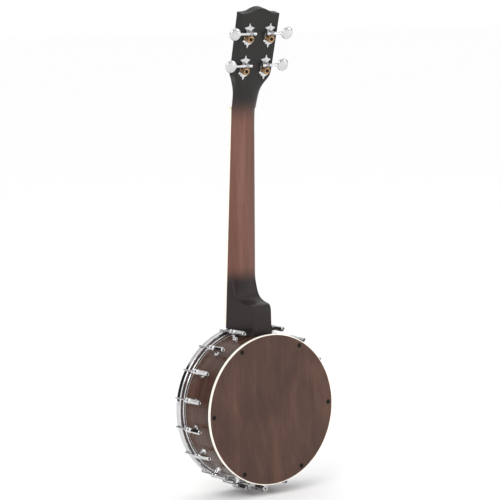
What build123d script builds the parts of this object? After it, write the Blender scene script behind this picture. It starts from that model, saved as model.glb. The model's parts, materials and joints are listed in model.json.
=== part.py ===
"""Four-string banjo ukulele with an 8 inch closed-back pot and open-gear tuners.

Millimetres. +Z runs up the neck, the playing side (head, strings, fingerboard) faces -Y, and the
origin is the centre of the flat back plate's outer face. The pot's axis is the Y axis.
"""
from build123d import *
from math import atan, cos, degrees, pi, radians, sin, tan
import os

os.makedirs("parts", exist_ok=True)

# ---- pot -------------------------------------------------------------------------------------
BACK_R = 104.8              # outside of the back plate's binding
BACK_T = 6.9                # thickness of the back plate
BINDING_T = 1.3             # radial thickness of the back binding
BINDING_DEPTH = 3.9         # the binding's depth; a dark strip fills the rest of the edge
STRIP_R = 104.2
RIM_R = 101.6               # 8 inch rim
RIM_WALL = 9.6
RIM_FRONT = -68.5           # bearing edge of the rim
FILM_T = 0.4                # drum head
FIT = 0.05                  # clearance of sliding and running fits
HOOP_R = 110.5
HOOP_FRONT = -73.2
HOOP_REAR = -64.0
HOOP_BAND = 4.5             # radial thickness of the hoop's band
HOOP_REAR_ROUND = 2.6
HOOP_FRONT_ROUND = 0.9
LEDGE_Y = -65.6             # where the hoop's inner ledge presses on the flesh hoop
LEDGE_T = 3.0
FLESH_H = 3.2               # flesh hoop, along the pot axis
FLESH_T = 3.2
FLESH_ROUND = 1.5
SKIRT_R = RIM_R + FIT + FILM_T
SCREW_CIRCLE = 97.6         # back screws
SCREW_ANGLES = (30, 90, 150, 210, 270, 330)
SCREW_SUNK = -0.15          # top of a back screw's head
SCREW_HEAD_T = 2.4
SCREW_NECK_R = 1.7
SCREW_TAPER = 35            # countersink's half angle, degrees
SCREW_R = 1.6
SCREW_LENGTH = 24.0
SCREW_SLOT = (3.6, 0.8)

# ---- brackets --------------------------------------------------------------------------------
BRACKETS_PER_SIDE = 8
BRACKET_FIRST = 17.2        # angle from the neck, degrees
BRACKET_STEP = 20.8
HOOK_R = 112.2              # distance of the hook rods from the pot axis
HOOK_WIRE = 1.1             # wire radius
HOOK_TIP_R = 106.9
HOOK_END = -21.0
HOOK_BEND = 2.2
SHOE_FRONT, SHOE_REAR = -48.0, -36.0
SHOE_R = 4.0                # radius of the shoe's barrel
NUT_REAR = -15.7
NUT_FLATS = 6.0
COLLAR_R = 3.3
COLLAR_T = 1.4
NUT_MOUTH_R = 2.0           # open end of a bracket nut
NUT_MOUTH_DEPTH = 4.5
BOLT_R = 2.0                # shoe bolts
BOLT_Y = -42.0

# ---- neck ------------------------------------------------------------------------------------
NUT_Z = 412.0
NECK_PITCH = atan(0.0525)
BOARD_LENGTH = 300.0
BOARD_T = 4.0
NUT_FACE_Y = -56.0 - BOARD_T  # fingerboard surface at the nut
BOARD_NUT_HALF = 18.5
BOARD_END_HALF = 24.4
EDGE_BINDING = 1.5
SCALE = 432.0               # 17 inch scale
FRETS = 19
FRET_CROWN = 1.0
FRET_WIDTH = 2.2
MARKED_FRETS = (5, 7, 10, 12, 15)
MARKER_R = 3.0
MARKER_T = 0.8
NECK_DEPTH_NUT = 12.0       # wood behind the fingerboard
NECK_DEPTH_HEEL = 13.4
HEEL_FRONT_HALF = 23.3      # the heel tapers from this half width at the fingerboard
HEEL_BACK_HALF = 15.0
HEEL_BACK = -18.0
HEEL_WALL_TOP = 137.0
HEEL_SHOULDER = (-25.0, 143.6)
HEEL_EDGE = 3.0
SWEEP_END = 185.0           # where the heel's sweep has run out into the neck
NUT_T = 4.6

# ---- headstock and tuners ----------------------------------------------------------------------
HEAD_LINE_Y = -57.1         # where the headstock's plane crosses the nut line
HEAD_TILT = 0.26            # from the Z axis, radians
HEAD_FRONT = 1.3            # depth of the headstock's front face below the nut line
OVERLAY_T = 1.5
HEAD_BACK = 15.0
HEAD_CROWN = 146.8
HEAD_TOP_CORNER = (31.2, 139.5)
HEAD_LOW_CORNER = (30.0, 51.0)
HEAD_STEM = (19.2, 12.0)
TUNER_ROWS = (64.5, 109.3)  # centre of each pair of plates, up the headstock
TUNER_X = 17.3
PLATE_T = 1.2
PLATE_HALF = 17.2
WORM_UP = 3.7               # worm axis above the plate's centre
WORM_HEIGHT = 5.8           # worm axis behind the headstock's back
GEAR_TEETH = 14
GEAR_PITCH_R = 4.6
WORM_PITCH_R = 2.9
WORM_CENTRES = GEAR_PITCH_R + WORM_PITCH_R
TOOTH_ADD, TOOTH_DED = 0.55, 0.75
GEAR_T = 3.6
SHAFT_R = 1.8
EAR_X, EAR_T = 5.9, 1.8
POST_R = 3.0
POST_WAIST = 2.4
POST_TOP = -12.6            # in front of the nut line
BUTTON_OUT = 26.24          # button centre from the plate's centre
BUTTON_R = 9.05
BUTTON_T = 5.5
BUSHING_R = 4.6
BUSHING_LENGTH = 8.0
STRING_ON_POST = 5.2        # height of the string over the headstock's nut line at the post
WRAP_START = 3.6

# ---- strings and tail ------------------------------------------------------------------------
STRING_R = (0.35, 0.32, 0.30, 0.26)
NUT_SPREAD = (13.0, 4.33)
BRIDGE_SPREAD = (18.0, 6.0)
TAIL_SPREAD = (12.0, 4.0)
BRIDGE_TOP = -86.0
BRIDGE_Z = NUT_Z - SCALE
STRING_AT_NUT = 1.5         # string centre above the fingerboard at the nut
BREAK_ANGLE = 17.5          # slope of the nut slots towards the headstock, degrees
SLOT_GAP = 0.1
SLOT_FLARE = 0.8            # extra slot width on the headstock side
WRAP_COUNT = 4
TAIL_R = 113.4              # tailpiece bolt from the pot axis
TAIL_PLATE_Y = -77.3
TAIL_PLATE_T = 1.6
TAIL_BOLT_R = 1.6
TAIL_NUT_FLATS = 8.0
PEG_Z = -92.0               # string pegs on the tailpiece
PEG_R = 1.2
ROD_Y = -36.0
ROD_R = 4.0
SECOND_BOLT_Y = -56.0
NECK_BOLT_R = 3.0
NECK_BOLT_TOP = 132.0
NECK_NUT_FLATS = 10.0
NECK_NUT_T = 5.0
WASHER_R, WASHER_T = 7.0, 1.2
ROD_SOCKET = 17.0           # depth of the neck bolt in the coordinator rod, from the nut's face

RIM_IN = RIM_R - RIM_WALL
BRACKET_ANGLES = [side * (BRACKET_FIRST + BRACKET_STEP * k)
                  for side in (1, -1) for k in range(BRACKETS_PER_SIDE)]
WORM_LEAD = 2 * pi * GEAR_PITCH_R / GEAR_TEETH

# The neck's plane: x across, y up the neck, z out of the fingerboard.
neck_normal = (0, -cos(NECK_PITCH), sin(NECK_PITCH))
neck_plane = Plane(origin=(0, NUT_FACE_Y, NUT_Z), x_dir=(1, 0, 0), z_dir=neck_normal)
# The headstock's plane: x across, y up the headstock, z out of its front.
head_normal = (0, -cos(HEAD_TILT), sin(HEAD_TILT))
head_plane = Plane(origin=(0, HEAD_LINE_Y, NUT_Z), x_dir=(1, 0, 0), z_dir=head_normal)


def save(shape, name):
    export_step(shape, f"parts/{name}.step")


def turned(points):
    """A solid of revolution about the pot's axis from (radius, y) points."""
    return revolve(make_face(Polyline(*points, close=True)), axis=Axis.Y)


def rod(plane, radius, start, end):
    """A cylinder along the plane's z axis, between two distances from its origin."""
    return extrude(plane.offset(start) * Circle(radius), amount=end - start)


def along_y(x, z):
    return Plane(origin=(x, 0, z), x_dir=(1, 0, 0), z_dir=(0, 1, 0))


def along_z(x, y):
    return Plane(origin=(x, y, 0), x_dir=(1, 0, 0), z_dir=(0, 0, 1))


def around_pot(shape, angles):
    """Copies of a shape made at the top of the pot, turned to the given angles."""
    return [shape.rotate(Axis.Y, angle) for angle in angles]


def group(solids):
    return Compound(children=list(solids))


def hex_nut(plane, flats, start, end, bore, chamfer_size=0.6):
    prism = extrude(plane.offset(start) * RegularPolygon(flats / 2, 6, major_radius=False), amount=end - start)
    round_bar = rod(plane, flats / 2 / cos(radians(30)) - 0.05, start, end)
    round_bar = chamfer(round_bar.edges().filter_by(GeomType.CIRCLE), chamfer_size)
    return (prism & round_bar) - rod(plane, bore, start - 1, end + 1)


def rims_at(shape, radius, y):
    """The circular edges of a turned part at a radius and a distance along the pot's axis."""
    circles = shape.edges().filter_by(GeomType.CIRCLE)
    return [e for e in circles if abs(e.radius - radius) < 0.01 and abs(e.arc_center.Y - y) < 0.01]


def make_pot():
    lip = 0.8
    rim = turned([(RIM_IN, -BACK_T), (RIM_R, -BACK_T), (RIM_R, RIM_FRONT + lip),
                  (RIM_R - lip, RIM_FRONT), (RIM_IN + 3, RIM_FRONT), (RIM_IN, RIM_FRONT + 3)])
    plate_r = BACK_R - BINDING_T
    plate = turned([(0, 0), (plate_r, 0), (plate_r, -BACK_T), (0, -BACK_T)])
    binding = turned([(plate_r, 0), (BACK_R, 0), (BACK_R, -BINDING_DEPTH), (plate_r, -BINDING_DEPTH)])
    binding = fillet(binding.edges().filter_by(GeomType.CIRCLE).group_by(SortBy.RADIUS)[-1], 0.6)
    strip = turned([(plate_r, -BINDING_DEPTH), (STRIP_R, -BINDING_DEPTH), (STRIP_R, -BACK_T), (plate_r, -BACK_T)])
    film = turned([(0, RIM_FRONT), (RIM_R + FIT, RIM_FRONT), (RIM_R + FIT, LEDGE_Y + FLESH_H),
                   (SKIRT_R, LEDGE_Y + FLESH_H), (SKIRT_R, RIM_FRONT - FILM_T), (0, RIM_FRONT - FILM_T)])
    flesh_out = SKIRT_R + FLESH_T
    flesh_rear = LEDGE_Y + FLESH_H
    flesh = turned([(SKIRT_R, LEDGE_Y), (flesh_out, LEDGE_Y), (flesh_out, flesh_rear), (SKIRT_R, flesh_rear)])
    flesh = fillet(rims_at(flesh, flesh_out, flesh_rear), FLESH_ROUND)
    band_in = HOOP_R - HOOP_BAND
    ledge_in = SKIRT_R + 0.3
    hoop = turned([(band_in, HOOP_REAR), (HOOP_R, HOOP_REAR), (HOOP_R, HOOP_FRONT), (band_in, HOOP_FRONT),
                   (band_in, LEDGE_Y - LEDGE_T), (ledge_in, LEDGE_Y - LEDGE_T), (ledge_in, LEDGE_Y),
                   (band_in, LEDGE_Y)])
    hoop = fillet(rims_at(hoop, HOOP_R, HOOP_REAR), HOOP_REAR_ROUND)
    hoop = fillet(rims_at(hoop, HOOP_R, HOOP_FRONT), HOOP_FRONT_ROUND)
    hoop = fillet(rims_at(hoop, band_in, HOOP_FRONT), HOOP_FRONT_ROUND)
    return rim, plate, binding, strip, film, flesh, hoop


def make_back_screw():
    """A countersunk wood screw at the top of the screw circle, and the hole that it sits in."""
    axis = along_y(0, SCREW_CIRCLE)
    head = extrude(axis.offset(SCREW_SUNK - SCREW_HEAD_T) * Circle(SCREW_NECK_R), amount=SCREW_HEAD_T,
                   taper=-SCREW_TAPER)
    screw = head + rod(axis, SCREW_R, -SCREW_LENGTH, SCREW_SUNK - SCREW_HEAD_T)
    hole = screw + rod(axis, SCREW_NECK_R + SCREW_HEAD_T * tan(radians(SCREW_TAPER)), SCREW_SUNK, 1)
    for spin in (45, 135):
        slot = extrude(axis.offset(-1.0) * Rot(0, 0, spin) * Rectangle(*SCREW_SLOT), amount=2)
        screw -= slot
    return screw, hole


def make_bracket():
    """One hook, shoe, nut, bolt and washer at the top of the pot."""
    hook_axis = along_y(0, HOOK_R)
    path = FilletPolyline((0, HOOK_END, HOOK_R), (0, HOOP_FRONT - HOOK_WIRE, HOOK_R),
                          (0, HOOP_FRONT - HOOK_WIRE, HOOK_TIP_R), radius=HOOK_BEND)
    hook = sweep(Plane(origin=path @ 0, z_dir=path % 0) * Circle(HOOK_WIRE), path=path)

    waist = (SHOE_FRONT + SHOE_REAR) / 2
    lobes = [(0, SHOE_FRONT), (3.3, SHOE_FRONT), (SHOE_R, SHOE_FRONT + 0.8), (SHOE_R, waist - 1.6),
             (SHOE_R - 0.6, waist), (SHOE_R, waist + 1.6), (SHOE_R, SHOE_REAR - 0.8), (3.3, SHOE_REAR),
             (0, SHOE_REAR)]
    barrel = Pos(0, 0, HOOK_R) * turned(lobes)
    foot = extrude(Plane.XY.offset(RIM_R - 2) * Pos(0, BOLT_Y) * Ellipse(4.6, 5.8), amount=11, taper=6)
    foot -= turned([(0, 0), (RIM_R, 0), (RIM_R, RIM_FRONT), (0, RIM_FRONT)])
    bolt_axis = along_z(0, BOLT_Y)
    bolt_tip = HOOK_R - SHOE_R - 1.2
    shoe = barrel + foot
    shoe -= rod(hook_axis, HOOK_WIRE + FIT, SHOE_FRONT - 1, SHOE_REAR + 1)
    shoe -= rod(bolt_axis, BOLT_R, RIM_IN, bolt_tip)

    collar_end = SHOE_REAR + COLLAR_T
    nut = hex_nut(hook_axis, NUT_FLATS, collar_end, NUT_REAR, HOOK_WIRE + FIT)
    collar = rod(hook_axis, COLLAR_R, SHOE_REAR, collar_end)
    collar -= rod(hook_axis, HOOK_WIRE + FIT, SHOE_REAR - 1, collar_end + 1)
    nut = nut + collar - rod(hook_axis, NUT_MOUTH_R, NUT_REAR - NUT_MOUTH_DEPTH, NUT_REAR + 1)

    washer_top = RIM_IN - 0.2
    washer = rod(bolt_axis, 4.6, washer_top - 1, washer_top) - rod(bolt_axis, BOLT_R + FIT, 0, RIM_IN)
    head = extrude(bolt_axis.offset(washer_top - 3.6) * RegularPolygon(3.5, 6, major_radius=False), amount=2.6)
    bolt = head + rod(bolt_axis, BOLT_R, washer_top - 1, bolt_tip)
    return hook, shoe, nut, bolt, washer


def neck_section(up, half_width, depth):
    """The neck's cross-section: flat under the fingerboard, half an ellipse behind."""
    centre = neck_plane.origin + neck_plane.y_dir * up
    plane = Plane(origin=centre, x_dir=(1, 0, 0), z_dir=-neck_plane.y_dir)
    back = EllipticalCenterArc((0, -BOARD_T), half_width, depth, start_angle=180, arc_size=180)
    top = Line((-half_width, -BOARD_T), (half_width, -BOARD_T))
    return plane * make_face([back, top])


def board_half(up):
    """Half the fingerboard's width at a distance up the neck from the nut (negative)."""
    return BOARD_NUT_HALF + (BOARD_END_HALF - BOARD_NUT_HALF) * -up / BOARD_LENGTH


def head_outline():
    """The headstock's outline in the headstock plane."""
    flare = Spline(HEAD_STEM, (21.2, 29.0), (25.6, 42.0), HEAD_LOW_CORNER, tangents=((0.05, 1), (0.6, 1)))
    side = Line(HEAD_LOW_CORNER, HEAD_TOP_CORNER)
    crest = Spline(HEAD_TOP_CORNER, (24.0, 139.9), (17.0, 141.3), (10.0, 144.6), (4.0, 146.5), (0, HEAD_CROWN),
                   tangents=((-1, 0.03), (-1, 0)))
    stem = Line((BOARD_NUT_HALF, -3.0), HEAD_STEM)
    foot = Line((0, -3.0), (BOARD_NUT_HALF, -3.0))
    half = foot + stem + flare + side + crest
    return make_face(half + mirror(half, about=Plane.YZ))


def make_heel():
    """The heel block: narrower at its flat back, with a rounded shoulder and a sweep into the neck."""
    inner = -73.0
    start = RIM_R - 8
    neck_back = -54.9
    wall = Line((HEEL_BACK, start), (HEEL_BACK, HEEL_WALL_TOP))
    shoulder = TangentArc((HEEL_BACK, HEEL_WALL_TOP), HEEL_SHOULDER, tangent=(0, 1))
    sweep_up = Spline(HEEL_SHOULDER, (-44.5, 146.8), (-52.3, 154.0), (neck_back - 0.2, 168.0), (neck_back, SWEEP_END),
                      tangents=((-1, 0.06), (0, 1)))
    top = Line((neck_back, SWEEP_END), (inner, SWEEP_END))
    front = Line((inner, SWEEP_END), (inner, start))
    base = Line((inner, start), (HEEL_BACK, start))
    profile = Plane(origin=(0, 0, 0), x_dir=(0, 1, 0), z_dir=(1, 0, 0)) * make_face(
        wall + shoulder + sweep_up + top + front + base)
    block = extrude(profile, amount=HEEL_FRONT_HALF + 1, both=True)
    plan = [(-HEEL_FRONT_HALF, inner), (HEEL_FRONT_HALF, inner), (HEEL_BACK_HALF, HEEL_BACK),
            (-HEEL_BACK_HALF, HEEL_BACK)]
    plan_face = make_face(Polyline(*plan, close=True))
    back_corners = [v for v in plan_face.vertices() if v.Y > HEEL_BACK - 1]
    plan_face = fillet(back_corners, HEEL_EDGE)
    block = block & extrude(Plane.XY.offset(start) * plan_face, amount=SWEEP_END - start)
    # Above the shoulder the block's corners are trimmed to an oval that shrinks to the neck's section.
    cone_low = HEEL_SHOULDER[1] + 3
    low_centre = neck_plane.origin + neck_plane.y_dir * (cone_low - NUT_Z)
    low_oval = Plane(origin=low_centre, x_dir=(1, 0, 0), z_dir=(0, 0, 1)) * Ellipse(34, 30)
    high_centre = neck_plane.origin + neck_plane.y_dir * (SWEEP_END - NUT_Z)
    high_oval = Plane(origin=high_centre, x_dir=(1, 0, 0), z_dir=(0, 0, 1)) * Ellipse(
        board_half(SWEEP_END - NUT_Z) + 0.3, NECK_DEPTH_HEEL + BOARD_T + 0.3)
    cone = loft([low_oval, high_oval])
    lower = block & (Pos(0, 0, (start + cone_low) / 2) * Box(80, 160, cone_low - start))
    return lower + (block & cone)


def make_neck():
    shaft = loft([neck_section(-BOARD_LENGTH + 2, board_half(-BOARD_LENGTH) - 0.4, NECK_DEPTH_HEEL),
                  neck_section(NUT_T, BOARD_NUT_HALF, NECK_DEPTH_NUT)])
    head = extrude(head_plane.offset(-HEAD_BACK) * head_outline(), amount=HEAD_BACK - HEAD_FRONT - OVERLAY_T)
    head -= extrude(neck_plane.offset(-BOARD_T) * Pos(0, -20) * Rectangle(60, 40), amount=20)
    neck = shaft + make_heel() + head
    neck -= extrude(neck_plane.offset(-BOARD_T) * Pos(0, -160) * Rectangle(60, 320), amount=20)
    relief = LEDGE_Y + FLESH_H + 1.2
    neck -= turned([(0, 0), (RIM_R, 0), (RIM_R, relief), (HOOP_R + 0.8, relief), (HOOP_R + 0.8, -95), (0, -95)])
    for y in (ROD_Y, SECOND_BOLT_Y):
        neck -= rod(along_z(0, y), NECK_BOLT_R, 80, 134)
    return neck


def make_fingerboard():
    outer = [(-BOARD_NUT_HALF, 0), (BOARD_NUT_HALF, 0), (BOARD_END_HALF, -BOARD_LENGTH),
             (-BOARD_END_HALF, -BOARD_LENGTH)]
    inner = [(x - EDGE_BINDING * (1 if x > 0 else -1), y) for x, y in outer]
    board = extrude(neck_plane * make_face(Polyline(*inner, close=True)), amount=-BOARD_T)
    whole = extrude(neck_plane * make_face(Polyline(*outer, close=True)), amount=-BOARD_T)
    binding = whole - board
    frets = []
    for n in range(1, FRETS + 1):
        up = -SCALE * (1 - 2 ** (-n / 12))
        half = board_half(up) - 0.3
        crown = neck_plane * Pos(0, up) * Rot(0, 90, 0) * Cylinder(FRET_WIDTH / 2, 2 * half)
        crown = crown & extrude(neck_plane * Pos(0, up) * Rectangle(60, 10), amount=FRET_CROWN)
        tang = extrude(neck_plane * Pos(0, up) * Rectangle(2 * (half - EDGE_BINDING - 0.4), 0.6), amount=-1.6)
        frets.append(crown + tang)
        board -= tang
    markers = []
    for n in MARKED_FRETS:
        up = -SCALE * (1 - (2 ** (-n / 12) + 2 ** (-(n - 1) / 12)) / 2)
        for x in ((-8, 8) if n == 12 else (0,)):
            marker = extrude(neck_plane * Pos(x, up) * Circle(MARKER_R), amount=-MARKER_T)
            markers.append(marker)
            board -= marker
    return board, binding, group(frets), group(markers)


def make_nut():
    """Bone nut on the neck's end, with a slot for each string."""
    block = extrude(neck_plane.offset(-BOARD_T) * Pos(0, NUT_T / 2) * Rectangle(2 * BOARD_NUT_HALF, NUT_T),
                    amount=BOARD_T + STRING_AT_NUT + 0.7)
    top_edges = block.edges().filter_by(Axis.X).group_by(SortBy.LENGTH)[-1].sort_by(Axis.Y)[:2]
    block = fillet(top_edges, 0.8)
    for x, radius in string_places(NUT_SPREAD):
        floor = neck_plane * Pos(x, NUT_T / 2, STRING_AT_NUT - radius - SLOT_GAP)
        width = 2 * (radius + SLOT_GAP)
        block -= floor * Pos(0, -5, 2) * Box(width, 10, 4)
        block -= floor * Rot(X=-BREAK_ANGLE) * Pos(0, 4.8, 2) * Box(width + SLOT_FLARE, 10, 4)
    return block


def string_places(spread):
    """(x, string radius) for the four strings, from the +X side."""
    xs = (spread[0], spread[1], -spread[1], -spread[0])
    return list(zip(xs, STRING_R))


def tuner_places():
    """(side, row) of each tuner, in string order."""
    return ((1, TUNER_ROWS[0]), (1, TUNER_ROWS[1]), (-1, TUNER_ROWS[1]), (-1, TUNER_ROWS[0]))


def plate_outline():
    """Tuner plate with a pointed finial at each end; its centre is the origin."""
    half = [(0.45, PLATE_HALF), (1.3, 14.2), (3.2, 12.3), (8.8, 10.9), (5.2, 8.4), (3.9, 6.8), (6.7, 5.7),
            (6.8, -5.8), (9.0, -7.9), (6.2, -9.6), (3.4, -11.2), (1.5, -13.4), (0.45, -PLATE_HALF)]
    other = [(-x, y) for x, y in reversed(half)]
    return make_face(Polyline(*half, *other, close=True))


def make_tuner(side, row):
    """One open-gear tuner: fixed plate, bushing and screws, the worm shaft, and the geared post."""
    back = head_plane.offset(-HEAD_BACK) * Pos(side * TUNER_X, row)
    back_face = Plane(back)
    plate = extrude(back_face * plate_outline(), amount=-PLATE_T)
    plate_top = -PLATE_T
    worm_z = -WORM_HEIGHT
    for x in (-EAR_X, EAR_X):
        ear = back_face * Pos(x, WORM_UP, (plate_top + worm_z) / 2) * Box(EAR_T, 5.0, plate_top - worm_z)
        boss = back_face * Pos(x, WORM_UP, worm_z) * Rot(0, 90, 0) * Cylinder(2.5, EAR_T)
        plate += ear + boss
    gear_up = WORM_UP - WORM_CENTRES
    post_axis = Plane(back_face * Pos(0, gear_up))
    shaft_origin = back_face * Pos(0, WORM_UP, worm_z)
    outward = Plane(origin=shaft_origin.position, x_dir=-head_plane.y_dir, z_dir=(side, 0, 0))
    plate -= rod(outward, SHAFT_R + FIT, -10, 10)
    plate -= rod(post_axis, POST_R + FIT, -5, 5)

    screws = []
    for y in (12.6, -10.2):
        axis = Plane(back_face * Pos(0, y))
        dome = rod(axis, 2.0, -PLATE_T - 0.9, -PLATE_T)
        dome = fillet(dome.edges().filter_by(GeomType.CIRCLE).sort_by(Axis.Y)[-1], 0.6)
        screw = dome + rod(axis, 1.0, -PLATE_T, 8.5)
        screw -= extrude(axis.offset(-PLATE_T - 1.2) * Rectangle(5, 0.5), amount=0.7)
        plate -= rod(axis, 1.0, -3, 1)
        screws.append(screw)

    front = HEAD_BACK - HEAD_FRONT
    bushing = rod(post_axis, BUSHING_R, front - BUSHING_LENGTH, front) + rod(post_axis, BUSHING_R + 1.1, front, front + 0.9)
    bushing -= rod(post_axis, POST_R + FIT, 0, 20)

    thread_turns = 3
    helix = Helix(pitch=WORM_LEAD, height=thread_turns * WORM_LEAD, radius=WORM_PITCH_R)
    helix = Pos(0, 0, -thread_turns / 2 * WORM_LEAD) * helix
    section = Plane(origin=helix @ 0, x_dir=(1, 0, 0), z_dir=helix % 0)
    core_r = WORM_PITCH_R - TOOTH_DED
    root, tip = WORM_PITCH_R - core_r + 0.25, TOOTH_ADD
    trapezoid = make_face(Polyline((-root, 0.55), (tip, 0.25), (tip, -0.25), (-root, -0.55), close=True))
    thread = sweep(section * trapezoid, path=helix, is_frenet=True)
    ear_in = EAR_X - EAR_T / 2 - 0.1
    ear_out = EAR_X + EAR_T / 2 + 0.1
    shaft = rod(Plane.XY, SHAFT_R, -ear_out - 1.4, 18.0)
    shaft += rod(Plane.XY, core_r, -ear_in, ear_in)
    shaft += rod(Plane.XY, 2.4, -ear_out - 1.4, -ear_out)
    shaft += rod(Plane.XY, 2.4, ear_out, ear_out + 1.0)
    shaft += thread
    shaft = outward.location * shaft

    disc = Cylinder(BUTTON_R, BUTTON_T, rotation=(90, 0, 0))
    rims = disc.edges().filter_by(GeomType.CIRCLE)
    disc = fillet(rims, BUTTON_T / 2 - 0.25)
    disc = Pos(0, 0, BUTTON_OUT) * disc
    stem = rod(Plane.XY, 2.3, 14.0, 16.0)
    stem += extrude(Plane.XY.offset(16.0) * Circle(2.3), amount=4.0, taper=-4)
    button = disc + stem - rod(Plane.XY, SHAFT_R, 13.0, 18.0)
    button = outward.location * button

    gear_mid = -WORM_HEIGHT
    hub_end = -PLATE_T - 0.7
    tooth = make_face(Polyline((GEAR_PITCH_R - TOOTH_DED - 0.5, 0.62), (GEAR_PITCH_R + TOOTH_ADD, 0.30),
                               (GEAR_PITCH_R + TOOTH_ADD, -0.30), (GEAR_PITCH_R - TOOTH_DED - 0.5, -0.62),
                               close=True))
    tooth = extrude(tooth, amount=GEAR_T, both=True)
    lead_angle = degrees(atan(WORM_LEAD / (2 * pi * WORM_PITCH_R)))
    tooth = tooth.rotate(Axis.X, -lead_angle)
    gear = Cylinder(GEAR_PITCH_R - TOOTH_DED, GEAR_T)
    for k in range(GEAR_TEETH):
        gear += tooth.rotate(Axis.Z, 90 + 360 * k / GEAR_TEETH)
    gear = gear & Cylinder(GEAR_PITCH_R + TOOTH_ADD, GEAR_T)
    gear = post_axis.location * Pos(0, 0, gear_mid) * gear
    gear += rod(post_axis, 3.5, gear_mid + GEAR_T / 2, hub_end)
    gear -= rod(post_axis, 2.0, -20, 0)

    top = HEAD_BACK - POST_TOP
    post = rod(post_axis, POST_R, hub_end, HEAD_BACK + 1.8)
    post += rod(post_axis, POST_WAIST, HEAD_BACK + 1.8, top - 3.4)
    cap = rod(post_axis, POST_R, top - 3.4, top)
    post += chamfer(cap.edges().filter_by(GeomType.CIRCLE), 0.5)
    post += rod(post_axis, 2.0, gear_mid - GEAR_T / 2, hub_end)
    cross = Plane(origin=(post_axis.location * Pos(0, 0, top - 5.0)).position, z_dir=(1, 0, 0))
    post -= rod(cross, 0.8, -6, 6)
    post -= rod(post_axis, 1.0, gear_mid - GEAR_T / 2 - 1, gear_mid + 4)

    screw_top = gear_mid - GEAR_T / 2
    gear_screw = rod(post_axis, 2.5, screw_top - 1.3, screw_top)
    gear_screw = chamfer(gear_screw.edges().filter_by(GeomType.CIRCLE).sort_by(Axis.Y)[-1], 0.35)
    gear_screw += rod(post_axis, 1.0, screw_top, gear_mid + 4)
    gear_screw -= extrude(post_axis.offset(screw_top - 2) * Rectangle(6, 0.6), amount=1.3)
    return plate, bushing, screws, shaft, button, gear, post, gear_screw, post_axis


def make_bridge():
    """Three-footed bridge: arches between the feet, thin at the top."""
    foot_y = RIM_FRONT - FILM_T
    top = BRIDGE_TOP
    outline = [(-27, foot_y), (-17, foot_y), (-15, foot_y - 6.5), (-6, foot_y - 6.5), (-4, foot_y), (4, foot_y),
               (6, foot_y - 6.5), (15, foot_y - 6.5), (17, foot_y), (27, foot_y), (25.5, foot_y - 8), (22, top),
               (-22, top), (-25.5, foot_y - 8)]
    body = extrude(Plane.XY.offset(BRIDGE_Z - 5) * make_face(Polyline(*outline, close=True)), amount=10)
    wedge = [(foot_y + 1, -4.2), (foot_y + 1, 4.2), (top - 1, 1.2), (top - 1, -1.2)]
    side = Plane(origin=(0, 0, BRIDGE_Z), x_dir=(0, 1, 0), z_dir=(1, 0, 0))
    body = body & extrude(side * make_face(Polyline(*wedge, close=True)), amount=40, both=True)
    for x, radius in string_places(BRIDGE_SPREAD):
        body -= rod(along_z(x, top - radius), radius + 0.14, BRIDGE_Z - 8, BRIDGE_Z + 8)
    return body


def make_tail():
    """Tailpiece plate, its bolt and nut, and the bracket on the rim that holds them."""
    front = TAIL_PLATE_Y - TAIL_PLATE_T
    plan = [(-8, -117.4), (8, -117.4), (16.5, -92), (16.5, -74), (-16.5, -74), (-16.5, -92)]
    face = Plane(origin=(0, front, 0), x_dir=(1, 0, 0), z_dir=(0, -1, 0)) * make_face(Polyline(*plan, close=True))
    plate = extrude(face, amount=-TAIL_PLATE_T)
    plate = fillet(plate.edges().filter_by(Axis.Y), 2.5)
    bolt_axis = along_y(0, -TAIL_R)
    for x, radius in string_places(TAIL_SPREAD):
        peg = along_y(x, PEG_Z)
        plate += rod(peg, PEG_R, front - 2.6, front + 0.2) + rod(peg, 1.9, front - 3.3, front - 2.6)
    plate -= rod(bolt_axis, TAIL_BOLT_R + FIT, -90, -70)

    bolt = rod(bolt_axis, TAIL_BOLT_R, front, NUT_REAR - 6)
    bolt_head = extrude(bolt_axis.offset(front - 3.2) * RegularPolygon(3.5, 6, major_radius=False), amount=3.2)
    bolt += bolt_head
    nut = hex_nut(bolt_axis, TAIL_NUT_FLATS, SHOE_REAR, NUT_REAR - 3.6, TAIL_BOLT_R + FIT)

    strap = turned([(RIM_R, -20), (RIM_R + 2.2, -20), (RIM_R + 2.2, -58), (RIM_R, -58)])
    strap = strap & (Pos(0, -39, -RIM_R) * Box(15, 40, 12))
    lug = Pos(0, -42, -(RIM_R + TAIL_R + 2) / 2) * Box(11, 12, TAIL_R - RIM_R - 2)
    barrel = rod(bolt_axis, 5.2, SHOE_FRONT, SHOE_REAR)
    bracket = strap + lug + barrel
    bracket -= turned([(0, 0), (RIM_R + 0.02, 0), (RIM_R + 0.02, -70), (0, -70)])
    bracket -= rod(bolt_axis, TAIL_BOLT_R + FIT, SHOE_FRONT - 1, SHOE_REAR + 1)
    end_axis = along_z(0, -26.5)
    bracket -= rod(end_axis, 3.0, -RIM_R - 5, -RIM_R + 5)
    return plate, bolt, nut, bracket


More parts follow.
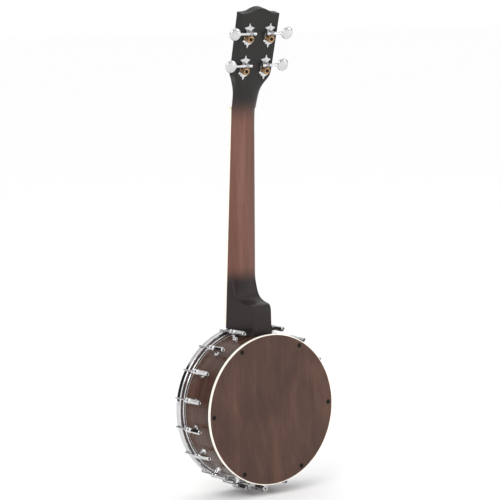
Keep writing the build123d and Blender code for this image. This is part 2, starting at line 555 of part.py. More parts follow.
def make_rod():
    """The coordinator rod that braces the pot between the heel and the tail, and its fasteners."""
    axis = along_z(0, ROD_Y)
    second = along_z(0, SECOND_BOLT_Y)
    washer_face = RIM_IN - 0.3
    washer = rod(axis, WASHER_R, washer_face - WASHER_T, washer_face) - rod(axis, NECK_BOLT_R + FIT, 0, 100)
    washer_2 = rod(second, WASHER_R, washer_face - WASHER_T, washer_face) - rod(second, NECK_BOLT_R + FIT, 0, 100)
    nut_face = washer_face - WASHER_T
    nut = hex_nut(axis, NECK_NUT_FLATS, nut_face - NECK_NUT_T, nut_face, NECK_BOLT_R + FIT)
    nut_2 = hex_nut(second, NECK_NUT_FLATS, nut_face - NECK_NUT_T, nut_face, NECK_BOLT_R + FIT)
    bolt = rod(axis, NECK_BOLT_R, nut_face - ROD_SOCKET, NECK_BOLT_TOP)
    bolt_2 = rod(second, NECK_BOLT_R, nut_face - NECK_NUT_T - 2, NECK_BOLT_TOP)
    rod_top = nut_face - NECK_NUT_T
    main = rod(axis, ROD_R, -RIM_IN + 0.6, rod_top) - rod(axis, NECK_BOLT_R + FIT, nut_face - ROD_SOCKET, rod_top + 1)
    return main, group([bolt, bolt_2]), group([nut, nut_2]), [washer, washer_2]


def make_string(number, post_axis):
    """A string from its peg on the tailpiece, over the bridge and nut, to the post's edge."""
    radius = STRING_R[number]
    side, row = tuner_places()[number]
    x_tail = string_places(TAIL_SPREAD)[number][0]
    x_bridge = string_places(BRIDGE_SPREAD)[number][0]
    x_nut = string_places(NUT_SPREAD)[number][0]
    wrap_r = POST_WAIST + 2 * radius
    front = HEAD_BACK + STRING_ON_POST
    loop_r = PEG_R + FIT + radius
    peg = Vector(x_tail, TAIL_PLATE_Y - TAIL_PLATE_T - 1.2, PEG_Z)
    tail = peg + Vector(0, 0, loop_r)
    bridge = Vector(x_bridge, BRIDGE_TOP - radius, BRIDGE_Z)
    nut = (neck_plane.location * Pos(x_nut, NUT_T / 2, STRING_AT_NUT)).position
    post = (post_axis.location * Pos(-side * (wrap_r + radius + 0.08), 0, front)).position
    path = FilletPolyline(tail, bridge, nut, post, radius=3.0)
    wire = sweep(Plane(origin=path @ 0, z_dir=path % 0) * Circle(radius), path=path)
    loop = Plane(origin=peg, x_dir=(1, 0, 0), z_dir=(0, 1, 0)).location * Torus(loop_r, radius)
    return wire + loop


def make_wraps(number, post_axis):
    """Turns of the string on the post, as a stack of rings."""
    radius = STRING_R[number]
    rings = []
    for k in range(WRAP_COUNT):
        height = HEAD_BACK + WRAP_START + 2.02 * radius * k
        rings.append(post_axis.location * Pos(0, 0, height) * Torus(POST_WAIST + radius, radius))
    return group(rings)


def main():
    rim, plate, binding, strip, film, flesh, hoop = make_pot()
    screw, screw_hole = make_back_screw()
    screws = around_pot(screw, SCREW_ANGLES)
    hook, shoe, bracket_nut, bolt, washer = make_bracket()
    for hole in around_pot(screw_hole, SCREW_ANGLES):
        plate -= hole
        rim -= hole
    for angle in BRACKET_ANGLES:
        rim -= rod(along_z(0, BOLT_Y), BOLT_R + FIT, RIM_IN - 4, RIM_R + 4).rotate(Axis.Y, angle)
    for y in (ROD_Y, SECOND_BOLT_Y):
        rim -= rod(along_z(0, y), NECK_BOLT_R + FIT, RIM_IN - 4, RIM_R + 4)
    rim -= rod(along_z(0, ROD_Y), NECK_BOLT_R + FIT, -RIM_R - 4, -RIM_IN + 4)
    save(film, "head_film")
    save(flesh, "flesh_hoop")
    save(hoop, "tension_hoop")
    save(plate, "back_plate")
    save(binding, "back_binding")
    save(strip, "back_edge_strip")
    save(group(screws), "back_screws")
    save(rim, "rim")
    save(group(around_pot(hook, BRACKET_ANGLES)), "bracket_hooks")
    save(group(around_pot(shoe, BRACKET_ANGLES)), "bracket_shoes")
    save(group(around_pot(bracket_nut, BRACKET_ANGLES)), "bracket_nuts")
    save(group(around_pot(bolt, BRACKET_ANGLES)), "shoe_bolts")
    save(group(around_pot(washer, BRACKET_ANGLES)), "shoe_washers")

    neck = make_neck()
    overlay = extrude(head_plane.offset(-HEAD_FRONT - OVERLAY_T) * head_outline(), amount=OVERLAY_T)
    overlay -= extrude(neck_plane * Pos(0, NUT_T - 50) * Rectangle(60, 100), amount=20, both=True)
    neck -= extrude(neck_plane.offset(-BOARD_T) * Pos(0, NUT_T / 2) * Rectangle(60, NUT_T), amount=20)
    plates, bushings, tuner_screws = [], [], []
    for number, (side, row) in enumerate(tuner_places()):
        made = make_tuner(side, row)
        tuner_plate, bushing, plate_screws, shaft, button, gear, post, gear_screw, post_axis = made
        plates.append(tuner_plate)
        bushings.append(bushing)
        tuner_screws += plate_screws
        neck -= rod(post_axis, BUSHING_R, HEAD_BACK - HEAD_FRONT - BUSHING_LENGTH, 20)
        neck -= rod(post_axis, POST_R + 0.6, -1, 20)
        overlay -= rod(post_axis, BUSHING_R, 0, 20)
        for piece in plate_screws:
            neck -= piece
        label = number + 1
        save(shaft, f"worm_shaft_{label}")
        save(button, f"tuner_button_{label}")
        save(gear, f"tuner_gear_{label}")
        save(post, f"tuner_post_{label}")
        save(gear_screw, f"gear_screw_{label}")
        save(make_string(number, post_axis), f"string_{label}")
        save(make_wraps(number, post_axis), f"string_wraps_{label}")
    save(group(plates), "tuner_plates")
    save(group(bushings), "tuner_bushings")
    save(group(tuner_screws), "tuner_screws")
    save(neck, "neck")
    save(overlay, "headstock_overlay")

    board, edge, frets, markers = make_fingerboard()
    save(board, "fingerboard")
    save(edge, "fingerboard_binding")
    save(frets, "frets")
    save(markers, "position_markers")
    save(make_nut(), "nut")
    save(make_bridge(), "bridge")

    tail_plate, tail_bolt, tail_nut, bracket = make_tail()
    save(tail_plate, "tailpiece")
    save(tail_bolt, "tailpiece_bolt")
    save(tail_nut, "tailpiece_nut")
    save(bracket, "tail_bracket")
    main_rod, neck_bolts, neck_nuts, washers = make_rod()
    save(main_rod, "coordinator_rod")
    save(neck_bolts, "neck_bolts")
    save(neck_nuts, "neck_nuts")
    save(group(washers), "neck_washers")


main()
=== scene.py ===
"""Banjo ukulele: the visual model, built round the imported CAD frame. Metres, +Z up the neck."""
import json
from math import atan, atan2, cos, degrees, pi, radians, sin, sqrt, tan

import bmesh
import bpy
from mathutils import Matrix, Vector


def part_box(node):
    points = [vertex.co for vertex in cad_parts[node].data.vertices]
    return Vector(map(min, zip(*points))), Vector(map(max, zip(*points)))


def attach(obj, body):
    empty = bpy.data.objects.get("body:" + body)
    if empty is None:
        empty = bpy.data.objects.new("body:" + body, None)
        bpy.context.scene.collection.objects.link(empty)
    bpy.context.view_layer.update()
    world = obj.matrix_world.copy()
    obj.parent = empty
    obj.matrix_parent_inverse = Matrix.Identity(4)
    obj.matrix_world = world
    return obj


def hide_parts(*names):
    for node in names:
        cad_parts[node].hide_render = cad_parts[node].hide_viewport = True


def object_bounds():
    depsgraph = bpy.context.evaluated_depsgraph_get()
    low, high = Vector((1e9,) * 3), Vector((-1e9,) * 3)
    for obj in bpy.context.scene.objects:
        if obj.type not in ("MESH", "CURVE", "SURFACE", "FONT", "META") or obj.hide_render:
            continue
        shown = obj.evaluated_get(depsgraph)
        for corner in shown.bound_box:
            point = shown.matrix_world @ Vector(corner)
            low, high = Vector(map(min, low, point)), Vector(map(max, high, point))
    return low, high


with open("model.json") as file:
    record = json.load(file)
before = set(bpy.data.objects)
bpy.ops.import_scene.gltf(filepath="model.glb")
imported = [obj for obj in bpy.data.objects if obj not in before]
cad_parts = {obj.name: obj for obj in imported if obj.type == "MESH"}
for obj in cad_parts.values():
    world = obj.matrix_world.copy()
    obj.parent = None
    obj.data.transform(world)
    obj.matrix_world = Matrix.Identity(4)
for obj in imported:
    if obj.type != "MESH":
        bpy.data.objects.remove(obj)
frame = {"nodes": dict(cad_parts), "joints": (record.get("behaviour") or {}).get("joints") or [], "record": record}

CAD_BOX = [list(corner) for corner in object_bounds()]
MM = 0.001
ROOT = "instrument"

# ---- places taken from the frame -------------------------------------------------------------
JOINTS = {joint["name"]: joint for joint in frame["joints"]}
RIM_LOW, RIM_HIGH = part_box("rim")
BACK_LOW, BACK_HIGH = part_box("back_binding")
HOOP_LOW, HOOP_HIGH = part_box("tension_hoop")
FILM_LOW, FILM_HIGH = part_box("head_film")
RIM_R = RIM_HIGH.x
BACK_R = BACK_HIGH.x
BACK_T = -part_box("back_plate")[0].y
HOOP_R = HOOP_HIGH.x
HOOP_FRONT = HOOP_LOW.y
HOOP_REAR = HOOP_HIGH.y
BINDING_T = 1.3 * MM
BINDING_DEPTH = -BACK_LOW.y
RIM_WALL = 9.6 * MM

BRACKETS_PER_SIDE = 8
BRACKET_FIRST = 17.2
BRACKET_STEP = 20.8
BRACKET_ANGLES = [side * (BRACKET_FIRST + BRACKET_STEP * k)
                  for side in (1, -1) for k in range(BRACKETS_PER_SIDE)]
HOOK_R = 112.2 * MM
HOOK_WIRE = 1.1 * MM
SHOE_FRONT, SHOE_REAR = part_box("bracket_shoes")[0].y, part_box("bracket_shoes")[1].y
NUT_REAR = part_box("bracket_nuts")[1].y
BOLT_Y = (SHOE_FRONT + SHOE_REAR) / 2

# The headstock's tilt comes from the tuner spindles, which stand square to it.
SPINDLE = JOINTS["spindle_turn_1"]
HEAD_TILT = atan2(-SPINDLE["axis"][2], SPINDLE["axis"][1])
NECK_PITCH = atan(0.0525)
NECK_LINE = Vector((0, -60.0 * MM, 412.0 * MM))
HEAD_LINE = Vector((0, -57.1 * MM, 412.0 * MM))
NECK_UP = Vector((0, sin(NECK_PITCH), cos(NECK_PITCH)))
NECK_IN = Vector((0, cos(NECK_PITCH), -sin(NECK_PITCH)))
HEAD_UP = Vector((0, sin(HEAD_TILT), cos(HEAD_TILT)))
HEAD_IN = Vector((0, cos(HEAD_TILT), -sin(HEAD_TILT)))
X_AXIS = Vector((1, 0, 0))
HEAD_BACK = 15.0 * MM
BOARD_T = 4.0
TUNER_SIDES = (1, 1, -1, -1)


def neck_point(x, up, deep):
    """A point by millimetres across, up the neck from the nut, and behind the fingerboard."""
    return NECK_LINE + X_AXIS * x * MM + NECK_UP * up * MM + NECK_IN * deep * MM


def head_point(x, up, deep):
    """A point by millimetres across, up the headstock from the nut, and behind its nut line."""
    return HEAD_LINE + X_AXIS * x * MM + HEAD_UP * up * MM + HEAD_IN * deep * MM


# ---- mesh helpers -----------------------------------------------------------------------------
def add_piece(name, verts, faces, material, replaces=(), body=ROOT, sharp=35):
    """A mesh object with clean normals that rides on a body."""
    mesh = bpy.data.meshes.new(name)
    mesh.from_pydata([tuple(v) for v in verts], [], faces)
    work = bmesh.new()
    work.from_mesh(mesh)
    bmesh.ops.remove_doubles(work, verts=work.verts, dist=1e-6)
    bmesh.ops.dissolve_degenerate(work, edges=work.edges, dist=1e-7)
    bmesh.ops.recalc_face_normals(work, faces=work.faces)
    work.to_mesh(mesh)
    work.free()
    mesh.polygons.foreach_set("use_smooth", [True] * len(mesh.polygons))
    mesh.set_sharp_from_angle(angle=radians(sharp))
    piece = bpy.data.objects.new(name, mesh)
    bpy.context.scene.collection.objects.link(piece)
    piece.data.materials.append(material)
    if replaces:
        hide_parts(*replaces)
    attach(piece, body)
    return piece


def merge(parts):
    """One (verts, faces) list from several."""
    verts, faces = [], []
    for part_verts, part_faces in parts:
        base = len(verts)
        verts += part_verts
        faces += [[base + i for i in face] for face in part_faces]
    return verts, faces


def moved(part, matrix):
    return [matrix @ Vector(v) for v in part[0]], part[1]


def round_corners(points, radius, steps=4):
    """A closed outline with each corner rounded; radius is one number or one for each corner."""
    count = len(points)
    radii = radius if hasattr(radius, "__len__") else [radius] * count
    out = []
    for i, point in enumerate(points):
        here = Vector(point)
        before = Vector(points[i - 1]) - here
        after = Vector(points[(i + 1) % count]) - here
        turn = before.angle(after, pi)
        if radii[i] <= 0 or pi - turn < 0.02:
            out.append(tuple(here))
            continue
        reach = min(radii[i] / tan(turn / 2), before.length * 0.48, after.length * 0.48)
        start = here + before.normalized() * reach
        end = here + after.normalized() * reach
        for k in range(steps + 1):
            t = k / steps
            out.append(tuple(start * (1 - t) ** 2 + here * 2 * t * (1 - t) + end * t ** 2))
    return out


def lathe(profile, segments=192, arc=None):
    """Turns a closed (radius, along) outline about the local Z axis; arc=None is a full turn."""
    verts, faces = [], []
    rings = segments if arc is None else segments + 1
    for i in range(rings):
        angle = 2 * pi * i / segments if arc is None else arc[0] + (arc[1] - arc[0]) * i / segments
        verts += [(r * cos(angle), r * sin(angle), a) for r, a in profile]
    n = len(profile)
    for i in range(segments):
        j = (i + 1) % rings
        for k in range(n):
            m = (k + 1) % n
            faces.append([i * n + k, j * n + k, j * n + m, i * n + m])
    if arc is not None:
        faces.append(list(range(n)))
        faces.append([segments * n + k for k in reversed(range(n))])
    return verts, faces


def axis_frame(origin, along, across=X_AXIS):
    """A matrix whose Z is along and whose X is nearest to across."""
    z = Vector(along).normalized()
    x = (Vector(across) - z * Vector(across).dot(z)).normalized()
    y = z.cross(x)
    return Matrix.Translation(origin) @ Matrix((x, y, z)).transposed().to_4x4()


POT_AXIS = axis_frame((0, 0, 0), (0, 1, 0))


def at_bracket(angle):
    """Turns a part made at the top of the pot to its angle."""
    return Matrix.Rotation(radians(angle), 4, "Y")


def tube(points, radius, sides=16, radii=None):
    """A round tube with closed ends along a list of points."""
    points = [Vector(p) for p in points]
    verts, faces = [], []
    tangent = (points[1] - points[0]).normalized()
    side = tangent.orthogonal().normalized()
    for i, point in enumerate(points):
        ahead = points[min(i + 1, len(points) - 1)] - points[max(i - 1, 0)]
        tangent = ahead.normalized()
        side = (side - tangent * side.dot(tangent)).normalized()
        other = tangent.cross(side)
        r = radii[i] if radii else radius
        verts += [point + (side * cos(2 * pi * k / sides) + other * sin(2 * pi * k / sides)) * r
                  for k in range(sides)]
    for i in range(len(points) - 1):
        for k in range(sides):
            m = (k + 1) % sides
            faces.append([i * sides + k, i * sides + m, (i + 1) * sides + m, (i + 1) * sides + k])
    faces.append(list(reversed(range(sides))))
    faces.append([(len(points) - 1) * sides + k for k in range(sides)])
    return verts, faces


def slab(outline, low, high, bevel):
    """A plate from a closed 2-D outline between two heights, with bevelled rims; local XY and Z."""
    work = bmesh.new()
    base = [work.verts.new((x, y, low)) for x, y in outline]
    face = work.faces.new(base)
    lifted = bmesh.ops.extrude_face_region(work, geom=[face])["geom"]
    bmesh.ops.translate(work, vec=(0, 0, high - low), verts=[g for g in lifted if isinstance(g, bmesh.types.BMVert)])
    rims = [e for e in work.edges if abs(e.verts[0].co.z - e.verts[1].co.z) < 1e-9]
    if bevel > 0:
        bmesh.ops.bevel(work, geom=rims, offset=bevel, segments=3, profile=0.6, affect="EDGES", clamp_overlap=True)
    work.verts.index_update()
    verts = [tuple(v.co) for v in work.verts]
    faces = [[v.index for v in f.verts] for f in work.faces]
    work.free()
    return verts, faces


def bezier(a, b, c, d, steps):
    """Points on a cubic Bezier curve."""
    out = []
    for k in range(steps + 1):
        t = k / steps
        s = 1 - t
        out.append(Vector(a) * s ** 3 + Vector(b) * 3 * s * s * t + Vector(c) * 3 * s * t * t + Vector(d) * t ** 3)
    return out


def smooth_step(value, low, high):
    t = max(0.0, min(1.0, (value - low) / (high - low)))
    return t * t * (3 - 2 * t)


def look_up(table, value):
    """A smooth curve through (value, result) pairs, with flat-free cubic joins."""
    if value <= table[0][0]:
        return table[0][1]
    for i in range(len(table) - 1):
        x0, y0 = table[i]
        x1, y1 = table[i + 1]
        if value <= x1:
            before = table[max(i - 1, 0)]
            after = table[min(i + 2, len(table) - 1)]
            m0 = (y1 - before[1]) / max(x1 - before[0], 1e-9)
            m1 = (after[1] - y0) / max(after[0] - x0, 1e-9)
            h = x1 - x0
            t = (value - x0) / h
            return ((2 * t ** 3 - 3 * t ** 2 + 1) * y0 + (t ** 3 - 2 * t ** 2 + t) * h * m0
                    + (3 * t ** 2 - 2 * t ** 3) * y1 + (t ** 3 - t ** 2) * h * m1)
    return table[-1][1]


# ---- materials --------------------------------------------------------------------------------
class Nodes:
    """A short way to write a node tree."""

    def __init__(self, name):
        self.material = bpy.data.materials.new(name)
        self.material.use_nodes = True
        self.tree = self.material.node_tree
        self.shader = self.tree.nodes["Principled BSDF"]

    def add(self, kind, settings=None, **inputs):
        node = self.tree.nodes.new(kind)
        for key, value in (settings or {}).items():
            setattr(node, key, value)
        for key, value in inputs.items():
            socket = node.inputs[int(key[1:])] if key[0] == "i" and key[1:].isdigit() else node.inputs[key.replace("_", " ")]
            if isinstance(value, bpy.types.NodeSocket):
                self.tree.links.new(value, socket)
            else:
                socket.default_value = value
        return node

    def math(self, operation, a, b=0.0):
        return self.add("ShaderNodeMath", {"operation": operation}, i0=a, i1=b).outputs[0]

    def mix(self, factor, a, b, blend="MIX"):
        node = self.add("ShaderNodeMix", {"data_type": "RGBA", "blend_type": blend})
        for socket, value in ((node.inputs[0], factor), (node.inputs[6], a), (node.inputs[7], b)):
            if isinstance(value, bpy.types.NodeSocket):
                self.tree.links.new(value, socket)
            else:
                socket.default_value = value
        return node.outputs[2]

    def ramp(self, value, stops):
        node = self.add("ShaderNodeValToRGB", None, Fac=value)
        elements = node.color_ramp.elements
        while len(elements) < len(stops):
            elements.new(0.5)
        for element, (place, colour) in zip(elements, stops):
            element.position = place
            element.color = colour
        return node.outputs[0]

    def span(self, value, low, high, out_low=0.0, out_high=1.0, smooth=True):
        kind = "SMOOTHSTEP" if smooth else "LINEAR"
        node = self.add("ShaderNodeMapRange", {"interpolation_type": kind}, Value=value)
        for key, number in (("From Min", low), ("From Max", high), ("To Min", out_low), ("To Max", out_high)):
            node.inputs[key].default_value = number
        return node.outputs[0]

    def place(self):
        return self.add("ShaderNodeTexCoord").outputs["Object"]

    def stretched(self, scale, vector=None):
        node = self.add("ShaderNodeMapping", None, Vector=vector or self.place())
        node.inputs["Scale"].default_value = scale
        return node.outputs[0]

    def noise(self, vector, scale, detail=4.0, roughness=0.55, distortion=0.0):
        node = self.add("ShaderNodeTexNoise", None, Vector=vector)
        node.inputs["Scale"].default_value = scale
        node.inputs["Detail"].default_value = detail
        node.inputs["Roughness"].default_value = roughness
        node.inputs["Distortion"].default_value = distortion
        return node.outputs[0]

    def bump(self, height, strength, distance, normal=None):
        node = self.add("ShaderNodeBump", None, Height=height)
        node.inputs["Strength"].default_value = strength
        node.inputs["Distance"].default_value = distance
        if normal:
            self.tree.links.new(normal, node.inputs["Normal"])
        return node.outputs[0]

    def to(self, **sockets):
        for key, value in sockets.items():
            socket = self.shader.inputs[key.replace("_", " ")]
            if isinstance(value, bpy.types.NodeSocket):
                self.tree.links.new(value, socket)
            else:
                socket.default_value = value
        return self.material


def rgb(r, g, b):
    return (r, g, b, 1.0)


def around_rim(n):
    """Coordinates that run round the pot, along its axis and through its wall."""
    split = n.add("ShaderNodeSeparateXYZ", None, Vector=n.place())
    angle = n.math("ARCTAN2", split.outputs[0], split.outputs[2])
    length = n.math("MULTIPLY", angle, RIM_R)
    return n.add("ShaderNodeCombineXYZ", None, X=length, Y=split.outputs[1]).outputs[0]


def wood(name, dark, mid, light, grain, vector_of=None, shade=None, roughness=(0.32, 0.48), coat=0.05,
         pores=0.5, figure=1.0, cloud=None):
    """Stained open-pored wood. grain is the scale across, across and along the boards."""
    n = Nodes(name)
    vector = vector_of(n) if vector_of else n.place()
    across = tuple(grain)
    broad = n.noise(n.stretched(tuple(g * 0.16 for g in across), vector), 1.0, 3.0, 0.5, 0.6)
    streak = n.noise(n.stretched(across, vector), 1.0, 6.0, 0.62, 0.25)
    fine = n.noise(n.stretched(tuple(g * 5.0 for g in across), vector), 1.0, 3.0, 0.6)
    blend = n.math("ADD", n.math("MULTIPLY", broad, 0.55 * figure), n.math("MULTIPLY", streak, 1 - 0.55 * figure))
    if cloud:
        patches = n.noise(n.stretched(cloud, vector), 1.0, 4.0, 0.6, 0.5)
        blend = n.math("ADD", n.math("MULTIPLY", blend, 0.5), n.math("MULTIPLY", patches, 0.5))
    blend = n.math("ADD", blend, n.math("MULTIPLY", n.math("SUBTRACT", fine, 0.5), 0.16))
    colour = n.ramp(blend, [(0.30, dark), (0.50, mid), (0.68, light)])
    pore = n.noise(n.stretched((across[0] * 9, across[1] * 9, across[2] * 7), vector), 1.0, 2.0, 0.5)
    pore = n.span(pore, 0.60, 0.72)
    colour = n.mix(n.math("MULTIPLY", pore, pores), colour, tuple(c * 0.35 for c in dark[:3]) + (1.0,))
    if shade:
        colour = shade(n, colour)
    rough = n.span(n.math("ADD", streak, n.math("MULTIPLY", pore, 0.3)), 0.3, 0.9, *roughness)
    height = n.math("SUBTRACT", n.math("MULTIPLY", streak, 0.5), pore)
    return n.to(Base_Color=colour, Roughness=rough, Coat_Weight=coat, Coat_Roughness=0.18, Specular_IOR_Level=0.22,
                Normal=n.bump(height, 0.25, 0.00012))


def sunburst(n, colour):
    """The neck's stain darkens to black at the heel and the headstock."""
    split = n.add("ShaderNodeSeparateXYZ", None, Vector=n.place())
    wander = n.noise(n.stretched((30, 30, 18)), 1.0, 2.0)
    z = n.math("ADD", split.outputs[2], n.math("MULTIPLY", n.math("SUBTRACT", wander, 0.5), 0.010))
    top = n.span(z, 0.388, 0.432)
    low = n.span(z, 0.196, 0.170)
    colour = n.mix(top, colour, rgb(0.017, 0.016, 0.015))
    low_wood = n.mix(0.95, colour, rgb(0.012, 0.010, 0.010))
    return n.mix(low, colour, low_wood)


def metal(name, colour, roughness, grain=0.0, scale=900.0, tint=None):
    """Polished or brushed metal with faint handling marks."""
    n = Nodes(name)
    cloud = n.noise(n.stretched((1, 1, 1)), 90.0, 3.0)
    marks = n.noise(n.stretched((1, 1, 6)), scale, 2.0)
    base = n.mix(n.span(cloud, 0.35, 0.75), colour, tint or tuple(c * 0.86 for c in colour[:3]) + (1.0,))
    rough = n.span(n.math("ADD", n.math("MULTIPLY", cloud, 0.7), n.math("MULTIPLY", marks, 0.3)), 0.3, 0.7,
                   roughness * 0.7, roughness * 1.5)
    return n.to(Base_Color=base, Metallic=1.0, Roughness=rough,
                Normal=n.bump(marks, 0.02 + grain, 0.00003))


def plastic(name, colour, other, roughness, coat=0.3, scale=60.0, bump=0.03, specular=0.5):
    """Moulded plastic, bone, celluloid or film with a faint cloud of a second colour."""
    n = Nodes(name)
    cloud = n.noise(n.stretched((1, 1, 1)), scale, 4.0, 0.6)
    speck = n.noise(n.stretched((1, 1, 1)), scale * 40, 2.0)
    base = n.mix(n.span(cloud, 0.35, 0.7), colour, other)
    rough = n.span(speck, 0.3, 0.7, roughness * 0.8, roughness * 1.2)
    return n.to(Base_Color=base, Roughness=rough, Coat_Weight=coat, Coat_Roughness=0.12, Specular_IOR_Level=specular,
                Normal=n.bump(speck, bump, 0.00005))


def pearl_material():
    n = Nodes("pearl")
    cells = n.add("ShaderNodeTexVoronoi", None, Vector=n.stretched((1, 1, 1)))
    cells.inputs["Scale"].default_value = 420.0
    wave = n.noise(n.stretched((1, 1, 1)), 260.0, 3.0)
    base = n.ramp(n.math("ADD", n.math("MULTIPLY", wave, 0.7), n.math("MULTIPLY", cells.outputs[0], 0.3)),
                  [(0.25, rgb(0.62, 0.66, 0.66)), (0.5, rgb(0.84, 0.82, 0.78)), (0.75, rgb(0.70, 0.78, 0.74))])
    return n.to(Base_Color=base, Roughness=0.2, Coat_Weight=0.6, Coat_Roughness=0.08)


MATERIALS = {
    "back_wood": wood("back_wood", rgb(0.036, 0.018, 0.013), rgb(0.073, 0.035, 0.025), rgb(0.122, 0.060, 0.041),
                      (60, 60, 6), roughness=(0.34, 0.46), coat=0.04, pores=0.25, cloud=(26, 26, 11)),
    "rim_wood": wood("rim_wood", rgb(0.036, 0.017, 0.012), rgb(0.064, 0.031, 0.022), rgb(0.100, 0.050, 0.034),
                     (6, 90, 90), vector_of=around_rim, roughness=(0.24, 0.36), coat=0.06, pores=0.25),
    "neck_wood": wood("neck_wood", rgb(0.090, 0.036, 0.025), rgb(0.146, 0.064, 0.046), rgb(0.208, 0.100, 0.074),
                      (150, 150, 7), shade=sunburst, roughness=(0.36, 0.5), coat=0.05, pores=0.2, figure=1.2),
    "board_wood": wood("board_wood", rgb(0.018, 0.008, 0.005), rgb(0.045, 0.020, 0.012), rgb(0.085, 0.040, 0.024),
                       (420, 420, 14), roughness=(0.42, 0.58), coat=0.0, pores=0.8),
    "bridge_wood": wood("bridge_wood", rgb(0.38, 0.22, 0.10), rgb(0.52, 0.33, 0.17), rgb(0.64, 0.44, 0.25),
                        (16, 500, 500), roughness=(0.4, 0.55), coat=0.1, pores=0.3),
    "black_lacquer": plastic("black_lacquer", rgb(0.016, 0.015, 0.014), rgb(0.022, 0.020, 0.019), 0.38, 0.03, specular=0.25),
    "binding": plastic("binding", rgb(0.94, 0.87, 0.78), rgb(0.90, 0.82, 0.72), 0.25, 0.3, 90.0),
    "drum_skin": plastic("drum_skin", rgb(0.86, 0.85, 0.82), rgb(0.82, 0.81, 0.77), 0.62, 0.0, 30.0, 0.25),
    "bone": plastic("bone", rgb(0.86, 0.81, 0.69), rgb(0.78, 0.72, 0.58), 0.3, 0.3, 300.0),
    "pearl": pearl_material(),
    "hardware_chrome": metal("hardware_chrome", rgb(0.62, 0.62, 0.63), 0.06),
    "plain_steel": metal("plain_steel", rgb(0.52, 0.52, 0.53), 0.3, 0.1),
    "fret_wire": metal("fret_wire", rgb(0.66, 0.64, 0.60), 0.18),
    "string_steel": metal("string_steel", rgb(0.62, 0.61, 0.58), 0.22),
    "gear_brass": metal("gear_brass", rgb(0.58, 0.37, 0.20), 0.20, 0.0, 900.0, rgb(0.42, 0.25, 0.13)),
    "black_screw": plastic("black_screw", rgb(0.010, 0.008, 0.007), rgb(0.016, 0.012, 0.010), 0.5, 0.0, 400.0, specular=0.12),
}


def dress_cad_nodes():
    """Every CAD node takes the procedural material of its slot."""
    for entry in frame["record"]["subparts"]:
        mesh = frame["nodes"][entry["node"]].data
        mesh.materials.clear()
        mesh.materials.append(MATERIALS[entry["material_slot"]])


def make(name, part, slot, replaces=(), body=ROOT, sharp=35):
    return add_piece(name, part[0], part[1], MATERIALS[slot], replaces, body, sharp)


# ---- pot --------------------------------------------------------------------------------------
def build_pot():
    """Rim, back binding, tension hoop and flesh hoop as turned pieces with eased edges."""
    edge = 0.45 * MM
    front = RIM_LOW.y
    inside = RIM_R - RIM_WALL
    wall = [(inside, -BACK_T), (RIM_R, -BACK_T), (RIM_R, front), (inside + 2.5 * MM, front), (inside, front + 2.5 * MM)]
    rim = lathe(round_corners(wall, [edge, edge, 0.9 * MM, edge, edge]), 256)
    make("pot_rim", moved(rim, POT_AXIS), "rim_wood", ["rim"])

    plate_r = BACK_R - BINDING_T
    binding = [(plate_r, -0.02 * MM), (BACK_R, 0), (BACK_R, -BINDING_DEPTH), (plate_r, -BINDING_DEPTH)]
    ring = lathe(round_corners(binding, [0.15 * MM, 0.8 * MM, 0.5 * MM, 0.05 * MM], 5), 256)
    make("back_edge_binding", moved(ring, POT_AXIS), "binding", ["back_binding"])

    band = 5.1 * MM
    ledge_out = HOOP_R - band
    ledge_in = FILM_HIGH.x + 0.3 * MM
    ledge_rear = HOOP_REAR - 1.6 * MM
    ledge_front = ledge_rear - 3.0 * MM
    hoop = [(ledge_out, HOOP_REAR), (HOOP_R, HOOP_REAR), (HOOP_R, HOOP_FRONT), (ledge_out, HOOP_FRONT),
            (ledge_out, ledge_front), (ledge_in, ledge_front), (ledge_in, ledge_rear), (ledge_out, ledge_rear)]
    radii = [0.3 * MM, 2.9 * MM, 1.6 * MM, 1.0 * MM, 0.6 * MM, 0.3 * MM, 0.3 * MM, 0.4 * MM]
    band_mesh = lathe(round_corners(hoop, radii, 8), 288)
    make("hoop_band", moved(band_mesh, POT_AXIS), "hardware_chrome", ["tension_hoop"])

    flesh_low, flesh_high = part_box("flesh_hoop")
    wire = [(FILM_HIGH.x, flesh_low.y), (flesh_high.x, flesh_low.y), (flesh_high.x, flesh_high.y),
            (FILM_HIGH.x, flesh_high.y)]
    wire_mesh = lathe(round_corners(wire, [0.3 * MM, 0.8 * MM, 1.5 * MM, 0.3 * MM], 6), 256)
    make("flesh_hoop_wire", moved(wire_mesh, POT_AXIS), "hardware_chrome", ["flesh_hoop"])


def hex_radius(flats, angle):
    """Distance from a hexagon's centre to its edge."""
    return flats / 2 / cos((angle + pi / 6) % (pi / 3) - pi / 6)


def hex_bar(flats, profile, bore, segments=72):
    """A hexagonal bar along Z: profile lists (along, largest radius); bore lists (along, radius)."""
    verts, faces = [], []
    outline = [(a, r, True) for a, r in profile] + [(a, r, False) for a, r in reversed(bore)]
    n = len(outline)
    for i in range(segments):
        angle = 2 * pi * i / segments
        for a, r, outside in outline:
            radius = min(r, hex_radius(flats, angle)) if outside else r
            verts.append((radius * cos(angle), radius * sin(angle), a))
    for i in range(segments):
        j = (i + 1) % segments
        for k in range(n):
            m = (k + 1) % n
            faces.append([i * n + k, j * n + k, j * n + m, i * n + m])
    return verts, faces


